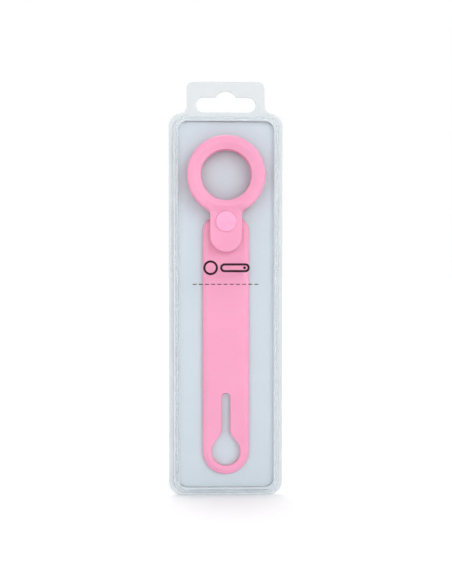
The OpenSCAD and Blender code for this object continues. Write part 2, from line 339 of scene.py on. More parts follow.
inkLook = {
    "light": (0.020, 0.003, 0.009), "dark": (0.012, 0.002, 0.006), "rough": (0.5, 0.6),
    "fineScale": 3000.0, "broadScale": 300.0, "bump": 0.004,
    "extras": {"Specular IOR Level": 0.2},
}
ruleLook = {**inkLook, "light": (0.075, 0.045, 0.055), "dark": (0.055, 0.03, 0.04)}
floorLook = {
    "light": (0.96, 0.96, 0.96), "dark": (0.95, 0.95, 0.95), "rough": (0.8, 0.9),
    "fineScale": 800.0, "broadScale": 4.0, "bump": 0.01,
}

silicone = newFinish("silicone", siliconeLook)
snapPlastic = newFinish("snapPlastic", snapLook)
clearPlastic = newFinish("clearPlastic", clearLook)
letLightThrough(clearPlastic, 1.0, (0.98, 0.99, 1.0))
letLightThrough(silicone, 0.5, (1.0, 0.42, 0.6))
frostedPlastic = newFinish("frostedPlastic", frostLook)
card = newFinish("card", cardLook)
ink = newFinish("ink", inkLook)
ruleInk = newFinish("ruleInk", ruleLook)
floorFinish = newFinish("floor", floorLook)
print("finishes made")


trayLow, trayHigh = boxOf("base_tray")
lidLow, lidHigh = boxOf("clear_lid")
case = {
    "half": trayHigh[0],
    "foot": trayLow[2],
    "top": lidHigh[2] + (trayHigh[0] - lidHigh[0]),  # the lid steps in as far here as at the sides
    "cornerR": 7.0,
    "cornerLoss": 0.4,  # how much the corner's radius shrinks for each millimetre moved in
    "arcSteps": 15,
    "sideSteps": 44,
}


# The case's outline moved in by inset: down the right side and back up the left, so that point i
# and point n-1-i face each other.
def caseLoop(inset):
    r = case["cornerR"] - case["cornerLoss"] * inset
    x, low, high = case["half"] - inset, case["foot"] + inset, case["top"] - inset
    a = np.linspace(0, np.pi / 2, case["arcSteps"])
    side = np.linspace(high - r, low + r, case["sideSteps"])[1:-1]
    right = np.concatenate([
        np.stack([x - r + r * np.sin(a), high - r + r * np.cos(a)], -1),
        np.stack([np.full_like(side, x), side], -1),
        np.stack([x - r + r * np.cos(a), low + r - r * np.sin(a)], -1)])
    return mirrored(right)


# Loops of the case's outline at each (inset, y) in rows, joined one to the next.
def loopsPart(rows, closed):
    return gridPart([stoodUp(caseLoop(inset), y) for inset, y in rows], closed)


cornerShare = 0.3  # a rounding with one middle point has it about this share of its radius in
lid = {
    "back": lidHigh[1], "front": lidLow[1],
    "step": trayHigh[0] - lidHigh[0],
    "wall": 1.2,
    "shoulderIn": 1.9, "shoulderDeep": 2.4,  # the rounded edge between wall and front
    "frontInset": 5.4,
    "creaseIn": 0.3, "panelSink": 0.15,  # a fine crease, and the front panel a little behind it
    "creaseLead": 0.12, "panelRows": (1.2, 0.35),  # from the front's edge, and on from the crease
    "innerRows": (0.4, 1.4),
    "mouthR": 0.25,
}


# (inset, y) up the wall: straight with its draft, then a quarter of an ellipse. Its inset is the
# front's less shoulderIn cos a, and its y the front's plus shoulderDeep (1 - sin a). On the inside
# both sizes are less by the wall.
def lidRows(wall):
    a = np.linspace(0, np.pi / 2, 13)
    inset = lid["frontInset"] - (lid["shoulderIn"] - wall) * np.cos(a)
    y = lid["front"] + lid["shoulderDeep"] - (lid["shoulderDeep"] - wall) * np.sin(a)
    t = np.linspace(0, 1, 9)[:-1]
    straight = np.stack([mixed(lid["step"] + wall, inset[0], t), mixed(lid["back"], y[0], t)], -1)
    return np.concatenate([straight, np.stack([inset, y], -1)])


# Rows from the front panel down the outside, round the mouth and back up the inside.
def makeLid():
    outer, inner = lidRows(0), lidRows(lid["wall"])
    edge, front, wall = lid["frontInset"], lid["front"], lid["wall"]
    step, back, r = lid["step"], lid["back"], lid["mouthR"]
    outer[0, 1] -= r  # the mouth's two edges are eased off
    inner[0, 1] -= r
    bit = cornerShare * r
    rim = [(step + bit, back - bit), (step + r, back),
           (step + wall - r, back), (step + wall - bit, back - bit)]
    panel, crease = front + lid["panelSink"], edge + lid["creaseIn"]
    rows = [(crease + run, panel) for run in lid["panelRows"]]
    rows += [(crease, panel), (edge + lid["creaseLead"], front)]
    rows += [tuple(p) for p in outer[::-1]] + rim + [tuple(p) for p in inner]
    rows += [(edge + run, front + wall) for run in lid["innerRows"]]
    points, faces = loopsPart(rows, closed=False)
    n = len(points) // len(rows)
    i = np.arange(n // 2 - 1)
    cap = np.stack([i, i + 1, n - 2 - i, n - 1 - i], -1)  # rungs from side to side close each face
    return points, np.concatenate([faces, cap, cap + (len(rows) - 1) * n])


lidShell = makePiece("lidShell", [makeLid()], clearPlastic, sharp=28)
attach(lidShell, "case_lid")
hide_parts("clear_lid")
print("lid made")


tray = {
    "back": trayHigh[1], "front": trayHigh[1] - 1.2,  # the plate is 1.2 thick
    "edgeR": 0.3, "supportIn": 0.35,
    "tabTop": trayHigh[2], "tabHalf": 20.5, "tabR": 3.5,
    "filletR": 4.0,
    "slotZ": -7.0, "slotHalf": 15.75, "slotR": 3.9, "humpHalf": 5.4, "humpTop": 0.0,
    "rimInset": 3.38, "rimT": 1.0, "rimH": 2.4, "rimR": 0.2,
    "rootIn": 0.2,  # how far the rim and the beads reach into the plate
    "beadR": 0.5, "beadH": 1.2, "beadInset": 3.5, "beadParts": (0.15, 0.5, 0.85),
}


# Points on an arc, by angles in degrees from +X towards +Z.
def arc(centre, r, start, end, steps):
    a = np.radians(np.linspace(start, end, steps))
    return np.stack([centre[0] + r * np.cos(a), centre[1] + r * np.sin(a)], -1)


# Points evenly along a straight line.
def line(a, b, steps):
    t = np.linspace(0, 1, steps)[:, None]
    return np.array(a, float) * (1 - t) + np.array(b, float) * t


# The plate's outline and its slot's, point for point, from the top down the right side.
def plateLoops():
    half, top, foot, r = case["half"], case["top"], case["foot"], case["cornerR"]
    tabHalf, tabTop, tabR, fillet = tray["tabHalf"], tray["tabTop"], tray["tabR"], tray["filletR"]
    cornerX, cornerZ = half - r, top - r
    hollowX = tabHalf + fillet
    hollowZ = cornerZ + math.sqrt((r + fillet) ** 2 - (hollowX - cornerX) ** 2)
    lean = math.degrees(math.atan2(hollowZ - cornerZ, hollowX - cornerX))
    outer = [line((0, tabTop), (tabHalf - tabR, tabTop), 13),
             arc((tabHalf - tabR, tabTop - tabR), tabR, 90, 0, 9),
             line((tabHalf, tabTop - tabR), (tabHalf, hollowZ), 7),
             arc((hollowX, hollowZ), fillet, 180, 180 + lean, 11),
             arc((cornerX, cornerZ), r, lean, 0, 13),
             line((half, cornerZ), (half, foot + r), 40),
             arc((cornerX, foot + r), r, 0, -90, 13),
             line((cornerX, foot), (0, foot), 9)]
    z, end, endR, hump = tray["slotZ"], tray["slotHalf"], tray["slotR"], tray["humpHalf"]
    rise = tray["humpTop"] - z - endR
    humpR = (hump ** 2 + rise ** 2) / (2 * rise)
    start = math.degrees(math.asin(hump / humpR))
    counts = [len(o) for o in outer]
    inner = [arc((0, tray["humpTop"] - humpR), humpR, 90, 90 - start, counts[0]),
             line((hump, z + endR), (end - endR, z + endR), counts[1]),
             arc((end - endR, z), endR, 90, 0, counts[2]),
             arc((end - endR, z), endR, 0, -90, counts[3]),
             line((end - endR, z - endR), (0, z - endR), sum(counts[4:]))]
    outer, inner = np.concatenate(outer), np.concatenate(inner)
    return mirrored(outer), mirrored(inner)


# Unit normals of a closed loop from the chord between its neighbours, repeated points skipped.
def outwards(loop, sign):
    step = np.linalg.norm(loop - np.roll(loop, 1, 0), axis=1)
    keep = step > 1e-6  # millimetres
    kept = loop[keep]
    chord = np.roll(kept, -1, 0) - np.roll(kept, 1, 0)
    chord /= np.linalg.norm(chord, axis=1)[:, None]
    normal = np.stack([-chord[:, 1], chord[:, 0]], -1) * sign
    return normal[np.maximum(np.cumsum(keep) - 1, 0)]


# Sections across the plate's rim: eased edges at the outline and at the slot, flat between.
def platePart():
    outer, inner = plateLoops()
    outN, inN = outwards(outer, 1), outwards(inner, -1)
    flatIn = tray["edgeR"] + tray["supportIn"]
    edge = roundRows(tray["edgeR"], np.linspace(0, np.pi / 2, 5))
    rows = []
    for face, side in ((tray["front"], 1), (tray["back"], -1)):
        strip = [(outer - outN * inset, face + side * lift) for inset, lift in edge]
        strip += [(outer - outN * flatIn, face), (inner - inN * flatIn, face)]
        strip += [(inner - inN * inset, face + side * lift) for inset, lift in edge[::-1]]
        rows += [stoodUp(points, y) for points, y in strip[::side]]
    return gridPart(rows)


# The plate, the rim round it and its beads, each a stalk under half a ball.
def makeTray():
    r, front = tray["rimR"], tray["front"]
    a, b = tray["rimInset"], tray["rimInset"] + tray["rimT"]
    top, root, bit = front - tray["rimH"], front + tray["rootIn"], cornerShare * r
    rim = [(a, root), (a, top + r), (a + bit, top + bit), (a + r, top),
           (b - r, top), (b - bit, top + bit), (b, top + r), (b, root)]
    t = np.radians(np.arange(0, 91, 15))
    beadR, ballY = tray["beadR"], front - tray["beadH"] + tray["beadR"]
    bead = [(0, root), (beadR, root), (beadR, ballY)]
    bead += [(beadR * math.cos(v), ballY - beadR * math.sin(v)) for v in t[1:]]
    points, faces = turnedPart(bead, 0, steps=20)
    inset, height = tray["beadInset"], case["top"] - case["foot"]
    x = case["half"] - inset
    places = [(side * x, case["foot"] + height * part) for side in (-1, 1) for part in tray["beadParts"]]
    places += [(0, case["foot"] + inset), (0, case["top"] - inset)]
    beads = [(points + [px, 0, pz], faces) for px, pz in places]
    return [platePart(), loopsPart(rim, closed=True)] + beads


trayPiece = makePiece("backTray", makeTray(), frostedPlastic, sharp=35)
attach(trayPiece, "case_base")
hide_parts("base_tray")

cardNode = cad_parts["backing_card"]
cardNode.data.materials.clear()
cardNode.data.materials.append(card)
print("tray and card made")


ringHigh = boxOf("ring_back")[1]
flapLow = boxOf("snap_flap")[0]
strapLow, strapHigh = boxOf("strap_middle")
endLow, endHigh = boxOf("strap_end")

holder = {
    "ringR": ringHigh[0], "ringZ": ringHigh[2] - ringHigh[0],
    "pocketR": 16.4, "windowR": 13.1, "creaseR": 16.7,
    "dish": 1.35, "dishSoft": 0.25, "dishedDrop": 30,  # the back is flat below this drop
    "parting": boxOf("ring_front")[1][1], "face": boxOf("ring_front")[0][1],
    "back": strapHigh[1], "strapFront": strapLow[1],
    "lipBack": (2.3, 3.0),  # how far the lips' inner sides lie from the parting plane, rim to wall
    "lipClear": 13.5,  # within this radius the front lip keeps its own inner side
    "ringEdge": 1.6, "lipEdge": 0.42, "partEdge": 0.22,
    "edgeFrom": 22, "edgeRun": 9,  # degrees from straight down: where the ring's edges begin
    "hollowR": 3.5, "neckHalf": 8.2,
    "coverHalf": 9.3, "coverFade": 1.1, "coverDrop": 8,  # where the neck covers the parting
    "rootTurn": 31, "rootFade": 0.05,
    "frontRoot": (19.9, 0.8), "backRoot": (19.6, 0.9),  # radius where the neck takes over, and its run
    "tongueHalf": 8.4,
    "tongueTip": flapLow[2], "tongueFront": -7.9, "tongueT": 1.6,
    "tongueEdge": 0.5, "tonguePartEdge": 0.35, "widenRun": 3,
    "slopeTop": 13.6, "slopeRun": 6.0,  # below the ring's centre: where the neck starts to slope
    "slopeReach": (12.5, 15.0), "reachFrom": 17.5, "reachRun": 3, "reachFade": 6,
    "strapHalf": strapHigh[0], "shoulderR": 6.5, "shoulderZ": -73.0, "neckEnd": 6,
    "bevelW": 2.6, "bevelH": 1.0, "bevelPower": 1.25, "strapEdge": 0.35,
    "bevelTop": -65.8, "bevelRun": 1.5,
    "bevelRows": (2.6, 2.2, 1.8, 1.4, 1.0, 0.7),
    "wallStep": 0.02,  # the pocket's wall is a step between rows this far either side of it
    "frontGap": 0.25, "partGap": 0.2, "backGap": 0.3,  # flat rows stop this far short of an edge
    "flatFrom": 3.0, "flatClear": 0.4, "bevelClear": 0.5,  # in from the outline, out from the pocket
    "hollowFrom": 17, "equalRun": 10, "backLip": (3.0, 3.2),
    "lipRows": (0.3, 0.8, 1.4, 2.0, 2.6, 3.0, 3.3, 3.6, 4.0),
    "frontRuns": ((0, 14.6, 22), (14.6, 21.4, 16), (21.4, 29.2, 18), (29.2, 40, 9), (40, 180, 71)),
    "columns": (7.5, 8.6, 9.3, 9.8, 10.3, 10.8, 11.3, 11.7, 11.85, 11.95, 12.05, 12.12, strapHigh[0]),
}
holder["hollowX"] = holder["neckHalf"] + holder["hollowR"]
holder["hollowDrop"] = math.sqrt((holder["ringR"] + holder["hollowR"]) ** 2 - holder["hollowX"] ** 2)
holder["hollowTurn"] = math.atan2(holder["hollowX"], holder["hollowDrop"])
holder["tipDrop"] = holder["ringZ"] - holder["tongueTip"] - holder["tongueHalf"]
holder["cutZ"] = (strapLow[2] + strapHigh[2]) / 2  # the two silicone pieces of the strap meet here
quarter = np.radians([0, 20, 40, 58, 75, 90])


# How far a lip's outside sinks at radius r: a straight slope from the crease in, softly begun.
def dished(r):
    q = holder["creaseR"] - r
    soft = holder["dishSoft"]
    slope = holder["dish"] / (holder["creaseR"] - holder["windowR"])
    return slope * (q + np.sqrt(q * q + soft * soft)) / 2


# How far a lip's inner side lies from the parting plane, straight from its rim to the wall.
def lipInside(r):
    rim, wall = holder["lipBack"]
    reach = holder["pocketR"] - holder["windowR"]
    return mixed(rim, wall, np.clip((r - holder["windowR"]) / reach, 0, 1))


# 0 on the neck and tongue and 1 on the ring, by the angle from straight down.
def ringShare(turn):
    return eased((turn - math.radians(holder["edgeFrom"])) / math.radians(holder["edgeRun"]))


# 1 where the neck's sheet covers the parting plane: across its width, and outside a radius near
# straight down.
def neckCover(x, drop, r, root):
    rootR, rootRun = root
    middle = eased((holder["coverHalf"] - np.abs(x)) / holder["coverFade"]) * (drop > holder["coverDrop"])
    lean = math.radians(holder["rootTurn"]) - np.arctan2(np.abs(x), drop)
    return np.maximum(middle, eased((r - rootR) / rootRun) * eased(lean / holder["rootFade"]))


# Drop of a quarter-round edge of radius r, at a distance in from the outline.
def roundedOff(distance, r):
    d = np.clip(distance, 0, r)
    return r - np.sqrt(np.maximum(r * r - (r - d) ** 2, 0))


# Drop of the strap's soft bevel: height times (1 - distance / width) to a power.
def bevelled(distance):
    share = np.clip(1 - distance / holder["bevelW"], 0, 1)
    return holder["bevelH"] * share ** holder["bevelPower"]


# Near side of the hollow's circle, grown by inset, along a ray from the ring's centre.
def hollowRadius(turn, inset):
    reach = holder["ringR"] + holder["hollowR"]
    lean = holder["hollowTurn"] - turn
    inside = (holder["hollowR"] + inset) ** 2 - (reach * np.sin(lean)) ** 2
    return reach * np.cos(lean) - np.sqrt(np.maximum(inside, 0))


# Radius of the front layer's outline, moved in by inset, at turn from straight down: the ring, the
# hollow beside the neck, the tongue's side and its round tip.
def flapOutline(turn, inset):
    neck, half = holder["neckHalf"], holder["tongueHalf"]
    sine, cosine = rayParts(turn)
    drop = neck / sine * cosine
    widened = neck + (half - neck) * eased((drop - holder["hollowDrop"]) / holder["widenRun"])
    side = (widened - inset) / sine
    inside = (half - inset) ** 2 - (holder["tipDrop"] * sine) ** 2
    tip = holder["tipDrop"] * cosine + np.sqrt(np.maximum(inside, 0))
    return np.select(
        [turn >= holder["hollowTurn"], turn >= np.arctan2(neck - inset, holder["hollowDrop"]),
         turn >= np.arctan2(half - inset, holder["tipDrop"])],
        [holder["ringR"] - inset, hollowRadius(turn, inset), side], tip)


# Angles all round from those of one half, 0 to 180 degrees, and their own size.
def spread(turn):
    turn = np.unique(np.round(turn, 6))
    signed = np.concatenate([turn, -turn[-2:0:-1]])
    return signed, np.abs(signed)


# A closed sheet round a hole: rows go round its section, each (radius, function of x, z, r giving
# y, function giving a new x), and the angles go round the hole. up is 1 if angles start upwards, -1
# if downwards.
def sheetPart(centreZ, up, signed, rows):
    layers = []
    for radius, height, bend in rows:
        radius = np.broadcast_to(radius, signed.shape)
        x, z = radius * np.sin(signed), centreZ + up * radius * np.cos(signed)
        if bend is not None:
            x = bend(x, z)
        layers.append(np.stack([x, height(x, z, radius), z], -1))
    grid = np.stack(layers, 1)
    return grid.reshape(-1, 3), gridFaces(grid.shape[0], grid.shape[1], True, True)


# The ring's front half and the flap with its tongue, as one piece of silicone.
def makeFrontLayer():
    ringZ, pocket, window = holder["ringZ"], holder["pocketR"], holder["windowR"]
    lipIn = window + holder["lipEdge"]
    signed, turn = spread(np.radians(np.concatenate([np.linspace(*run) for run in holder["frontRuns"]])))
    edge = mixed(holder["tongueEdge"], holder["ringEdge"], ringShare(turn))
    partEdge = mixed(holder["tonguePartEdge"], holder["partEdge"], ringShare(turn))

    # 1 where the surface belongs to the sloping neck and the tongue, 0 on the ring.
    def neckShare(x, z):
        drop = ringZ - z
        near, far = holder["slopeReach"]
        reach = mixed(near, far, eased((drop - holder["reachFrom"]) / holder["reachRun"]))
        down = eased((drop - holder["slopeTop"]) / holder["slopeRun"])
        return down * eased((reach - np.abs(x)) / holder["reachFade"])

    # The ring's dished face, passing into the tongue's flat one.
    def front(x, z, r):
        return mixed(holder["face"] + dished(r), holder["tongueFront"], neckShare(x, z))

    # The lip's inner side and the parting plane, or a sheet's thickness behind the front.
    def back(x, z, r):
        lip = holder["parting"] - lipInside(r)
        ring = np.where(r < pocket, lip, holder["parting"])
        sheet = front(x, z, r) + holder["tongueT"]
        sheet = np.where(r < pocket, np.maximum(sheet, lip), sheet)
        cover = neckCover(x, ringZ - z, r, holder["frontRoot"]) * (r > holder["lipClear"])
        return mixed(ring, sheet, cover)

    rows = []

    def add(radius, height, lift=0.0):
        rows.append((radius, lambda x, z, r: height(x, z, r) + lift, None))

    for inset, lift in roundRows(holder["lipEdge"], quarter):
        add(window + inset, front, lift)
    for extra in holder["lipRows"]:
        add(lipIn + extra, front)
    near, far = lipIn + holder["lipRows"][-1], flapOutline(turn, edge + holder["frontGap"])
    for t in np.linspace(0, 1, 15)[1:]:
        add(mixed(near, far, t), front)
    for inset, lift in roundRows(edge, quarter[::-1]):
        add(flapOutline(turn, inset), front, lift)
    for inset, lift in roundRows(partEdge, quarter):
        add(flapOutline(turn, inset), back, -lift)
    near, far = pocket + holder["wallStep"], flapOutline(turn, partEdge + holder["partGap"])
    for t in np.linspace(1, 0, 15):
        add(mixed(near, far, t), back)
    for r in np.linspace(pocket - holder["wallStep"], lipIn + holder["partGap"], 8):
        add(r, back)
    for inset, lift in roundRows(holder["lipEdge"], quarter[::-1]):
        add(window + inset, back, -lift)
    return sheetPart(ringZ, -1, signed, rows)


frontLayer = makePiece("frontLayer", [makeFrontLayer()], silicone, sharp=50)
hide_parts("ring_front", "snap_flap")
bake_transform(frontLayer)
print("front layer made")


# Half the width of neck and strap at height z: the neck, a shoulder's arc, then straight.
def strapWidth(z):
    r, centre = holder["shoulderR"], holder["shoulderZ"]
    arcHalf = holder["strapHalf"] - r + np.sqrt(np.maximum(r * r - np.clip(z - centre, 0, r) ** 2, 0))
    return np.where(z > centre + r, holder["neckHalf"], np.maximum(arcHalf, holder["neckHalf"]))


# The ring's back half, the neck and the upper strap, down to the middle of the strap.
def makeBackLayer():
    ringZ, ringR, neck, half = holder["ringZ"], holder["ringR"], holder["neckHalf"], holder["strapHalf"]
    window, lipEdge, pocket = holder["windowR"], holder["lipEdge"], holder["pocketR"]
    lipIn = window + lipEdge
    cutDrop, hollowDrop, hollowTurn = ringZ - holder["cutZ"], holder["hollowDrop"], holder["hollowTurn"]
    across = np.array((0, 2, 4, 6) + holder["columns"])
    sideDrop = np.concatenate([np.arange(hollowDrop, 30, 0.3), np.arange(30, cutDrop, 1.8)])
    signed, turn = spread(np.concatenate([
        np.arctan2(across * neck / half, cutDrop), np.arctan2(neck, sideDrop),
        np.linspace(math.atan2(neck, hollowDrop), hollowTurn, 16),
        np.linspace(hollowTurn, math.radians(40), 9), np.radians(np.linspace(40, 180, 71))]))

    # Radius in a space where neck and strap are equally wide, which widen() undoes. x comes from
    # its own drop, so it is worked out six times over, and settles.
    def outline(inset):
        sine, cosine = rayParts(turn)
        x = neck - inset
        for step in range(6):
            drop = x / sine * cosine
            x = neck - inset * mixed(1.0, neck / half, eased((drop - hollowDrop) / holder["equalRun"]))
        side = np.where(turn < np.pi / 2, np.minimum(x / sine, cutDrop / np.maximum(cosine, 1e-6)), 0)
        return np.select([turn >= hollowTurn, turn >= np.arctan2(neck - inset, hollowDrop)],
                         [ringR - inset, hollowRadius(turn, inset)], side)

    # x by the real half width over the neck's.
    def widen(x, z):
        return x * strapWidth(z) / neck

    # How far a point lies inside the outline.
    def distance(x, z, r):
        ax, drop, shoulderR = np.abs(x), ringZ - z, holder["shoulderR"]
        above = z - holder["shoulderZ"]
        hollow = np.hypot(ax - holder["hollowX"], drop - hollowDrop) - holder["hollowR"]
        shoulder = shoulderR - np.hypot(np.maximum(ax - (half - shoulderR), 0), np.maximum(above, 0))
        strap = np.where(above > 0, shoulder, half - ax)
        body = np.maximum(np.where(above > holder["neckEnd"], neck - ax, -1), strap)
        nearHollow = (np.arctan2(ax, drop) < hollowTurn) & (r > holder["hollowFrom"])
        return np.where(drop > hollowDrop, body, np.where(nearHollow, hollow, ringR - r))

    # The lip's inner side, the parting plane, or the strap's bevelled front.
    def front(x, z, r):
        cover = neckCover(x, ringZ - z, r, holder["backRoot"])
        wallTop = mixed(holder["parting"], holder["strapFront"], cover)
        y = np.where(r < pocket, holder["parting"] + lipInside(r), wallTop)
        return y + bevelled(distance(x, z, r)) * eased((holder["bevelTop"] - z) / holder["bevelRun"])

    # The flat back, dished like the front round the window.
    def back(x, z, r):
        return holder["back"] - dished(r) * (ringZ - z < holder["dishedDrop"])

    backEdge = mixed(holder["strapEdge"], holder["ringEdge"], ringShare(turn))
    frontEdge = mixed(holder["strapEdge"], holder["partEdge"], ringShare(turn))
    rows = []

    # A row, lifted off its surface, and with an edge's roundedOff drop if it has one.
    def add(radius, height, lift=0.0, edge=None):
        def y(x, z, r):
            drop = 0 if edge is None else roundedOff(distance(x, z, r), edge)
            return height(x, z, r) + lift + (drop if height is front else -drop)
        rows.append((radius, y, widen))

    for inset, lift in roundRows(lipEdge, quarter):
        add(window + inset, front, lift)
    for r in np.linspace(lipIn + holder["backGap"], pocket - holder["wallStep"], 7):
        add(r, front)
    far = np.maximum(outline(holder["flatFrom"]), pocket + holder["flatClear"])
    for t in np.linspace(0, 1, 20):
        add(mixed(pocket + holder["wallStep"], far, t), front)
    for inset in holder["bevelRows"]:
        add(np.maximum(outline(inset), pocket + holder["bevelClear"]), front, edge=frontEdge)
    for inset, lift in roundRows(frontEdge, quarter[::-1]):
        add(outline(inset), front, edge=frontEdge)
    for inset, lift in roundRows(backEdge, quarter):
        add(outline(inset), back, edge=backEdge)
    lipEnd, flatStart = holder["backLip"]
    far = outline(backEdge + holder["backGap"])
    for t in np.linspace(1, 0, 24):
        add(mixed(lipIn + flatStart, far, t), back)
    for r in np.linspace(lipIn + lipEnd, lipIn + holder["backGap"], 7):
        add(r, back)
    for inset, lift in roundRows(lipEdge, quarter[::-1]):
        add(window + inset, back, -lift)
    return sheetPart(ringZ, -1, signed, rows)


backLayer = makePiece("backLayer", [makeBackLayer()], silicone, sharp=50)
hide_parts("ring_back", "strap_middle")
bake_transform(backLayer)
print("back layer made")


tail = {
    "holeR": 7.65, "holeZ": endLow[2] + endHigh[0],
    "slotHalf": 2.3, "slotLen": 31.0,
    "flareFrom": (5.865, 4.42), "flareTo": (2.3, 9.945), "flareSoft": 0.5,
    "slotFoot": 9.9, "sideFoot": 8,  # where the rays to the slot's and the strap's sides end
    "edgeGap": 0.25, "flatFrom": 2.9, "flatClear": 0.4,
    "upperTurn": 75, "circleClear": 1.2, "circleSoft": 0.15,  # where the flare meets the circle
    "holeEdge": 0.4,
}


# The strap's end with its keyhole, up to the middle of the strap.
def makeTail():
    centre, half, edge = tail["holeZ"], endHigh[0], holder["strapEdge"]
    slotHalf, holeEdge = tail["slotHalf"], tail["holeEdge"]
    cut = holder["cutZ"] - centre
    slotTop = tail["slotLen"] - slotHalf
    a, b = np.array(tail["flareFrom"]), np.array(tail["flareTo"])
    normal = np.array([b[1] - a[1], a[0] - b[0]])
    normal /= np.linalg.norm(normal)
    around = np.radians(np.linspace(0, 90, 13))
    across = np.array((0, 1.2, 2.4, 3.6, 4.8, 6) + holder["columns"])
    signed, turn = spread(np.concatenate([
        np.arctan2(across, cut),
        np.arctan2(slotHalf * np.sin(around), slotTop + slotHalf * np.cos(around)),
        np.arctan2(slotHalf, np.linspace(slotTop, tail["slotFoot"], 16)),
        np.arctan2(half, np.linspace(cut, tail["sideFoot"], 28)),
        np.radians(np.linspace(13, 60, 32)), np.radians(np.linspace(60, 180, 61))]))
    sine, cosine = rayParts(turn)

    # Keyhole's radius along each ray: its circle, its slot with a round top and the flare between
    # them, whichever reaches furthest.
    def hole(grow):
        slotR = slotHalf + grow
        inside = slotR ** 2 - (slotTop * sine) ** 2
        top = slotTop * cosine + np.sqrt(np.maximum(inside, 0))
        slot = np.where(turn < np.arctan2(slotR, slotTop), top, slotR / sine)
        flare = (normal @ a + grow) / np.maximum(normal[0] * sine + normal[1] * cosine, 0.2)
        upper = softMax(slot, flare, tail["flareSoft"])
        upper = np.where(turn < math.radians(tail["upperTurn"]), upper, 0)
        circle = tail["holeR"] + grow
        met = softMax(upper, circle, tail["circleSoft"])
        return np.where(upper > circle + tail["circleClear"], upper, met)

    # Radius of the straight sides and the cut, and of the round end below.
    def outline(inset):
        side = np.minimum((half - inset) / sine, cut / np.maximum(cosine, 1e-6))
        return np.where(turn < np.pi / 2, side, half - inset)

    # How far a point lies inside the sides, or inside the round end below the hole's centre.
    def distance(x, z, r):
        return np.where(z > centre, half - np.abs(x), half - r)

    rows = []

    # A row of the front or the back, with the outline's edge and the hole's taken off.
    def add(radius, isFront, grow):
        def y(x, z, r):
            d = distance(x, z, r)
            drop = roundedOff(d, edge) + (0 if grow is None else roundedOff(grow, holeEdge))
            return holder["strapFront"] + bevelled(d) + drop if isFront else holder["back"] - drop
        rows.append((radius, y, None))

    nearHole = hole(holeEdge + tail["edgeGap"])
    for isFront in (True, False):
        strip = [(hole(inset), inset) for inset, lift in roundRows(holeEdge, quarter)]
        far = outline(tail["flatFrom"] if isFront else edge + holder["backGap"])
        far = np.maximum(far, nearHole + tail["flatClear"])
        strip += [(mixed(nearHole, far, t), None) for t in np.linspace(0, 1, 13)]
        if isFront:
            strip += [(np.maximum(outline(inset), far), None) for inset in holder["bevelRows"]]
        strip += [(outline(inset), None) for inset, lift in roundRows(edge, quarter[::-1])]
        for radius, grow in (strip if isFront else strip[::-1]):
            add(radius, isFront, grow)
    return sheetPart(centre, 1, signed, rows)


strapTail = makePiece("strapTail", [makeTail()], silicone, sharp=50)
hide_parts("strap_end")
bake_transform(strapTail)
print("strap made")


capLow, capHigh = boxOf("snap_cap")
socketLow, socketHigh = boxOf("snap_socket")
studLow, studHigh = boxOf("snap_stud")
backCapLow, backCapHigh = boxOf("snap_back_cap")
snap = {
    "z": (capLow[2] + capHigh[2]) / 2, "r": capHigh[0],
    "domeRise": 0.22, "rimR": 0.6, "rimFrom": 12, "rimShare": 0.8,
    "grooveR": 4.45, "grooveDeep": 0.12, "grooveW": 0.14,
    "seatIn": 0.03, "seatOut": 0.04,  # how far the cap's underside goes in, and its rim stops short
    "prongR": 1.4, "prongEase": 0.2, "prongTip": -6.8, "holeR": 1.5, "wellR": 2.9, "wellFloor": -5.7,
    "flangeFront": -4.5, "knobR": 2.2,
    "boreEase": 0.12, "backSeat": 0.3, "backOut": 0.2,
    "edge": 0.18,
}


# Half a cap's section from the middle of its outside to its prong's tip: a low dome, a rim and the
# prong. The dome falls away by the square of the radius, and a groove shaped like a bell curve goes
# deeper. inwards is 1 if the prong points to +Y.
def capProfile(face, seat, inwards, tip):
    r, rim, prongR, under = snap["r"], snap["rimR"], snap["prongR"], seat + inwards * snap["seatIn"]
    flat = np.linspace(0, r - rim, 12)
    rise = snap["domeRise"] * (flat / (r - rim)) ** 2
    rise = rise + snap["grooveDeep"] * np.exp(-((flat - snap["grooveR"]) / snap["grooveW"]) ** 2)
    top = face + inwards * rise
    a = np.radians(np.linspace(snap["rimFrom"], 90, 7))
    deep = inwards * abs(seat - top[-1]) * snap["rimShare"]
    curve = np.stack([r - rim + rim * np.sin(a), top[-1] + deep * (1 - np.cos(a))], -1)
    rest = [(r, seat - inwards * snap["seatOut"]), (r - 0.05, under), (prongR, under),
            (prongR, tip - inwards * snap["prongEase"]), (prongR - snap["prongEase"], tip), (0, tip)]
    return np.concatenate([np.stack([flat, top], -1), curve, np.array(rest)])


capPart = turnedPart(capProfile(capLow[1], holder["tongueFront"], 1, snap["prongTip"]), snap["z"], 96)
snapCap = makePiece("snapCap", [capPart], snapPlastic, sharp=35)
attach(snapCap, "flap")
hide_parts("snap_cap")

socketR, socketBack, well, floorY = socketHigh[0], socketHigh[1], snap["wellR"], snap["wellFloor"]
socketFront = socketLow[1] - snap["seatIn"]
socketProfile = softProfile(
    [(socketR, socketFront), (socketR, socketBack), (well, socketBack), (well, floorY),
     (snap["holeR"], floorY), (snap["holeR"], socketFront)], snap["edge"])
snapSocket = makePiece("snapSocket", [turnedPart(socketProfile, snap["z"], 72)], snapPlastic, sharp=45)
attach(snapSocket, "flap")
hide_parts("snap_socket")

studR, knob, flange = studHigh[0], snap["knobR"], snap["flangeFront"]
bore, studBack = snap["holeR"] - snap["boreEase"], studHigh[1] + snap["seatIn"]
studProfile = softProfile(
    [(bore, studBack), (studR, studBack), (studR, flange), (knob - 0.2, flange),
     (knob, (flange + studLow[1]) / 2), (knob - 0.25, studLow[1]), (bore, studLow[1])], snap["edge"])
snapStud = makePiece("snapStud", [turnedPart(studProfile, snap["z"], 72)], snapPlastic, sharp=45)
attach(snapStud, "holder")
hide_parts("snap_stud")

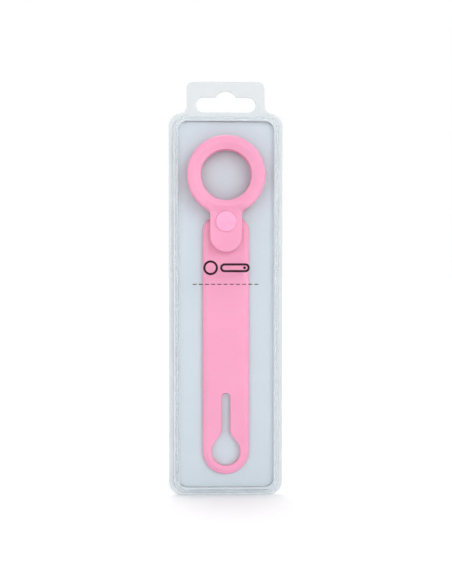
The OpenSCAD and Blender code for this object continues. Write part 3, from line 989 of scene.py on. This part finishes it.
backFace, backSeat = backCapHigh[1] + snap["backOut"], backCapHigh[1] - snap["backSeat"]
backPart = turnedPart(capProfile(backFace, backSeat, -1, backCapLow[1]), snap["z"], 96)
snapBackCap = makePiece("snapBackCap", [backPart], snapPlastic, sharp=35)
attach(snapBackCap, "holder")
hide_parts("snap_back_cap")
print("snap made")


mark = {
    "z": -92.6, "front": lid["front"] + 0.05, "back": lid["front"] + 0.16,
    "stroke": 1.15,
    "ringX": -8.2, "ringR": 3.8,  # a ring and a strap on its side: the holder's own outline
    "strapFrom": -3.3, "strapTo": 12.0, "strapHalf": 2.3,
    "holeX": 9.3, "holeR": 0.75,
    "ruleZ": -101.1, "ruleHalf": 17.5, "ruleH": 0.5, "dashes": 11, "gapShare": 0.32,
}


# A flat closed band between two outlines of (x, z), point for point.
def flatBand(outer, inner):
    front, back = mark["front"], mark["back"]
    rows = ((outer, front), (inner, front), (inner, back), (outer, back))
    return gridPart([stoodUp(loop, y) for loop, y in rows])


# Outline of a bar with round ends of radius r.
def capsule(x0, x1, z, r, steps=24):
    a = np.linspace(-np.pi / 2, np.pi / 2, steps)
    right = np.stack([x1 - r + r * np.cos(a), z + r * np.sin(a)], -1)
    left = np.stack([x0 + r - r * np.cos(a), z - r * np.sin(a)], -1)
    return np.concatenate([right, left])


# A filled flat shape: a band between its outline and its own middle.
def flatPatch(loop):
    return flatBand(loop, np.broadcast_to(loop.mean(0), loop.shape))


# The outline of a bar, drawn with the stroke's width inside it.
def drawnLoop(x0, x1, r, steps=24):
    stroke = mark["stroke"]
    inner = capsule(x0 + stroke, x1 - stroke, mark["z"], r - stroke, steps)
    return flatBand(capsule(x0, x1, mark["z"], r, steps), inner)


dot = capsule(mark["holeX"] - mark["holeR"], mark["holeX"] + mark["holeR"], mark["z"], mark["holeR"], 18)
markParts = [drawnLoop(mark["ringX"] - mark["ringR"], mark["ringX"] + mark["ringR"], mark["ringR"], 36),
             drawnLoop(mark["strapFrom"], mark["strapTo"], mark["strapHalf"]), flatPatch(dot)]
lidMark = makePiece("lidMark", markParts, ink)
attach(lidMark, "case_lid")

pitch = 2 * mark["ruleHalf"] / mark["dashes"]
dashParts = []
for i in range(mark["dashes"]):
    left = -mark["ruleHalf"] + i * pitch
    right = left + pitch * (1 - mark["gapShare"])
    dashParts.append(flatPatch(capsule(left, right, mark["ruleZ"], mark["ruleH"] / 2, 8)))
lidRule = makePiece("lidRule", dashParts, ruleInk)
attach(lidRule, "case_lid")
print("print made")


stage = {
    "half": 8.0,  # half the floor's side, in metres
    "worldStrength": 0.55,
    "keyAngle": 0.8,  # how wide each sun is, in radians
    "keys": {  # the way each shines, and its strength
        "rightKey": ((-0.58, 0.74, -0.36), 1.35),
        "leftKey": ((0.40, 0.88, -0.16), 0.8),
        "topKey": ((0.04, -0.24, -0.97), 1.3),
    },
    "stripPlace": (-0.55, -0.35, 0.05), "stripTarget": (0, -0.005, -0.105),
    "stripSize": (0.08, 0.5), "stripPower": 0.3,
}

half, floorZ = stage["half"], case["foot"] * mm
floorCorners = [(-half, -half, floorZ), (half, -half, floorZ), (half, half, floorZ), (-half, half, floorZ)]
floorMesh = bpy.data.meshes.new("floor")
floorMesh.from_pydata(floorCorners, [], [(0, 1, 2, 3)])
floorMesh.materials.append(floorFinish)
floor = putInScene(bpy.data.objects.new("floor", floorMesh))


# Turns a light or a camera so that it looks the given way.
def aimed(thing, way):
    thing.rotation_euler = Vector(way).to_track_quat("-Z", "Y").to_euler()
    return putInScene(thing)


stripData = bpy.data.lights.new("leftStrip", "AREA")
stripData.shape = "RECTANGLE"
stripData.size, stripData.size_y = stage["stripSize"]
stripData.energy = stage["stripPower"]
strip = bpy.data.objects.new("leftStrip", stripData)
strip.location = stage["stripPlace"]
aimed(strip, Vector(stage["stripTarget"]) - Vector(stage["stripPlace"]))

for name, (way, strength) in stage["keys"].items():
    sun = bpy.data.lights.new(name, "SUN")  # its light is the same all over the floor
    sun.energy, sun.angle = strength, stage["keyAngle"]
    aimed(bpy.data.objects.new(name, sun), way)

world = bpy.data.worlds.new("studio")
bpy.context.scene.world = world
world.use_nodes = True
tree = world.node_tree
sky = tree.nodes["Background"]
sky.inputs["Color"].default_value = (1, 1, 1, 1)
path = tree.nodes.new("ShaderNodeLightPath")  # white to the eye and through glass, softer on things
seen = mathNode(tree, "MAXIMUM", path.outputs["Is Camera Ray"], path.outputs["Is Transmission Ray"])
seen = mathNode(tree, "MAXIMUM", seen, path.outputs["Is Glossy Ray"])
extra = mathNode(tree, "MULTIPLY", seen, 1 - stage["worldStrength"])
tree.links.new(mathNode(tree, "ADD", extra, stage["worldStrength"]), sky.inputs["Strength"])
bpy.context.scene.view_settings.view_transform = "Standard"

view = {
    "place": (-0.0158, -0.5, -0.091), "lens": 58.24,
    "yaw": 0.0319, "pitch": 0.0289,  # radians to the right of straight back, and down
    "near": 0.01, "far": 10,
}
cameraData = bpy.data.cameras.new("camera")
cameraData.lens = view["lens"]
cameraData.clip_start, cameraData.clip_end = view["near"], view["far"]
camera = bpy.data.objects.new("camera", cameraData)
camera.location = view["place"]
level = math.cos(view["pitch"])
aimed(camera, (math.sin(view["yaw"]) * level, math.cos(view["yaw"]) * level, -math.sin(view["pitch"])))
bpy.context.scene.camera = camera
print("stage set")
